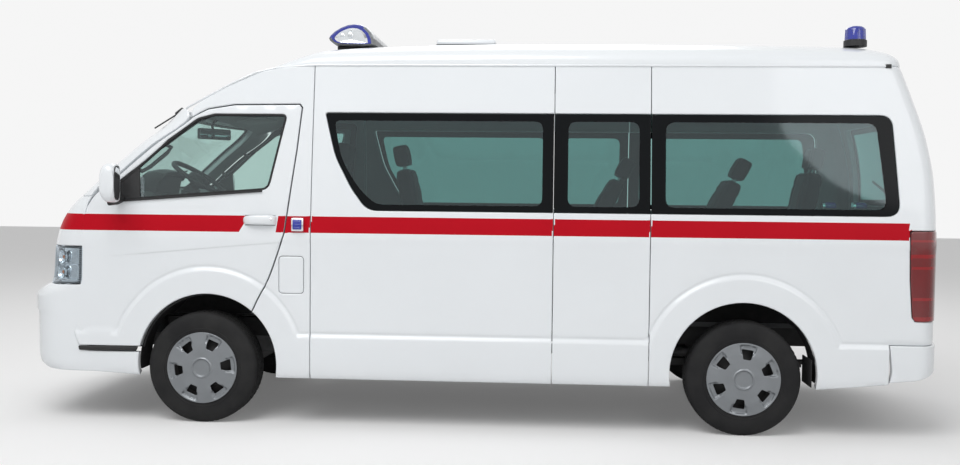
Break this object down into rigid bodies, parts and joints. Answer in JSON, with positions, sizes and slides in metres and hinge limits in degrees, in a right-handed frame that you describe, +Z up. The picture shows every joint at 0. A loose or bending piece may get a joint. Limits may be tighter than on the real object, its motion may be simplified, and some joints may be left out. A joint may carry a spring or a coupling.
{
  "type": "ambulance van",
  "caption": "High-roof ambulance van with hinged front doors, a lifting tailgate, steered front wheels, rolling wheels, roof light bar and rear blue lamps.",
  "frame": {"origin": "centre of the overall box at ground level, midway between the bumpers on the vehicle's centre plane", "axes": "+X towards the tail, the nose points along -X; +Y towards the vehicle's right side; +Z up"},
  "size_m": [5.38, 2.28, 2.398],
  "materials": {
    "body_white": "gloss paint, cool white, with a red stripe",
    "underbody": "matt underbody paint",
    "chassis_black": "satin black paint",
    "cast_metal": "as cast",
    "exhaust_steel": "dull steel",
    "tank_plastic": "moulded black plastic",
    "clear_glass": "clear glass with a slight green tint",
    "side_glass": "tinted glass with a black printed border",
    "grille_silver": "silver paint",
    "lamp_clear": "clear lens over bright reflectors",
    "lamp_red": "moulded red lens",
    "lamp_blue": "moulded blue lens",
    "trim_black": "satin black",
    "liner_black": "matt moulded plastic",
    "dash_plastic": "grained soft-touch plastic",
    "seat_fabric": "woven seat cloth, dark red and black",
    "wheel_silver": "silver painted wheel cover",
    "tyre_rubber": "black rubber"
  },
  "bodies": {
    "body": {"floor_pan": "underbody", "chassis_frame": "chassis_black", "engine": "cast_metal", "exhaust": "exhaust_steel", "fuel_tank": "tank_plastic", "rear_axle": "chassis_black", "propeller_shaft": "cast_metal", "front_suspension": "chassis_black", "left_side_panel": "body_white", "right_side_panel": "body_white", "sliding_door": "body_white", "roof_panel": "body_white", "cab_frame": "body_white", "windscreen": "clear_glass", "side_glass_left": "side_glass", "side_glass_right": "side_glass", "nose_panel": "body_white", "grille": "grille_silver", "headlights": "lamp_clear", "front_bumper": "body_white", "rear_bumper": "body_white", "tail_lamps": "lamp_red", "light_bar": "lamp_blue", "roof_vent": "body_white", "blue_lamps": "lamp_blue", "wipers": "trim_black", "arch_liners": "liner_black", "dashboard": "dash_plastic", "front_seats": "seat_fabric", "rear_seats": "seat_fabric"},
    "front_door_left": {"front_door_left": "body_white", "door_glass_left": "clear_glass", "mirror_left": "body_white"},
    "front_door_right": {"front_door_right": "body_white", "door_glass_right": "clear_glass", "mirror_right": "body_white"},
    "tailgate": {"tailgate": "body_white", "tailgate_glass": "side_glass"},
    "fuel_lid": {"fuel_lid": "body_white"},
    "knuckle_left": {"knuckle_left": "cast_metal"},
    "knuckle_right": {"knuckle_right": "cast_metal"},
    "steering_wheel": {"steering_wheel": "dash_plastic"},
    "wheel_front_left": {"rim_front_left": "wheel_silver", "tyre_front_left": "tyre_rubber"},
    "wheel_front_right": {"rim_front_right": "wheel_silver", "tyre_front_right": "tyre_rubber"},
    "wheel_rear_left": {"rim_rear_left": "wheel_silver", "tyre_rear_left": "tyre_rubber"},
    "wheel_rear_right": {"rim_rear_right": "wheel_silver", "tyre_rear_right": "tyre_rubber"}
  },
  "joints": [
    {"name": "left_door_hinge", "type": "hinge", "parent": "body", "child": "front_door_left", "pos_m": [-2.264, -0.948, 1], "axis": [0, 0, -1], "range_deg": [0, 65]},
    {"name": "right_door_hinge", "type": "hinge", "parent": "body", "child": "front_door_right", "pos_m": [-2.264, 0.948, 1], "axis": [0, 0, 1], "range_deg": [0, 65]},
    {"name": "tailgate_hinge", "type": "hinge", "parent": "body", "child": "tailgate", "pos_m": [2.443, 0, 2.143], "axis": [0, -1, 0], "range_deg": [0, 88]},
    {"name": "fuel_lid_hinge", "type": "hinge", "parent": "body", "child": "fuel_lid", "pos_m": [-1.118, -0.938, 0.873], "axis": [0, 0, -1], "range_deg": [0, 85]},
    {"name": "steer_left", "type": "hinge", "parent": "body", "child": "knuckle_left", "pos_m": [-1.575, -0.73, 0.322], "axis": [0, 0, 1], "range_deg": [-32, 32]},
    {"name": "steer_right", "type": "hinge", "parent": "body", "child": "knuckle_right", "pos_m": [-1.575, 0.73, 0.322], "axis": [0, 0, 1], "range_deg": [-32, 32]},
    {"name": "steering_wheel_turn", "type": "hinge", "parent": "body", "child": "steering_wheel", "pos_m": [-1.76, -0.42, 1.43], "axis": [0.5299, 0, 0.848], "range_deg": [-512, 512]},
    {"name": "roll_front_left", "type": "hinge", "parent": "knuckle_left", "child": "wheel_front_left", "pos_m": [-1.575, -0.825, 0.322], "axis": [0, 1, 0], "continuous": true},
    {"name": "roll_front_right", "type": "hinge", "parent": "knuckle_right", "child": "wheel_front_right", "pos_m": [-1.575, 0.825, 0.322], "axis": [0, 1, 0], "continuous": true},
    {"name": "roll_rear_left", "type": "hinge", "parent": "body", "child": "wheel_rear_left", "pos_m": [1.535, -0.825, 0.322], "axis": [0, 1, 0], "continuous": true},
    {"name": "roll_rear_right", "type": "hinge", "parent": "body", "child": "wheel_rear_right", "pos_m": [1.535, 0.825, 0.322], "axis": [0, 1, 0], "continuous": true}
  ],
  "couplings": [
    {"joint": "steer_right", "follows": "steer_left", "ratio": 1},
    {"joint": "steering_wheel_turn", "follows": "steer_left", "ratio": 16}
  ]
}
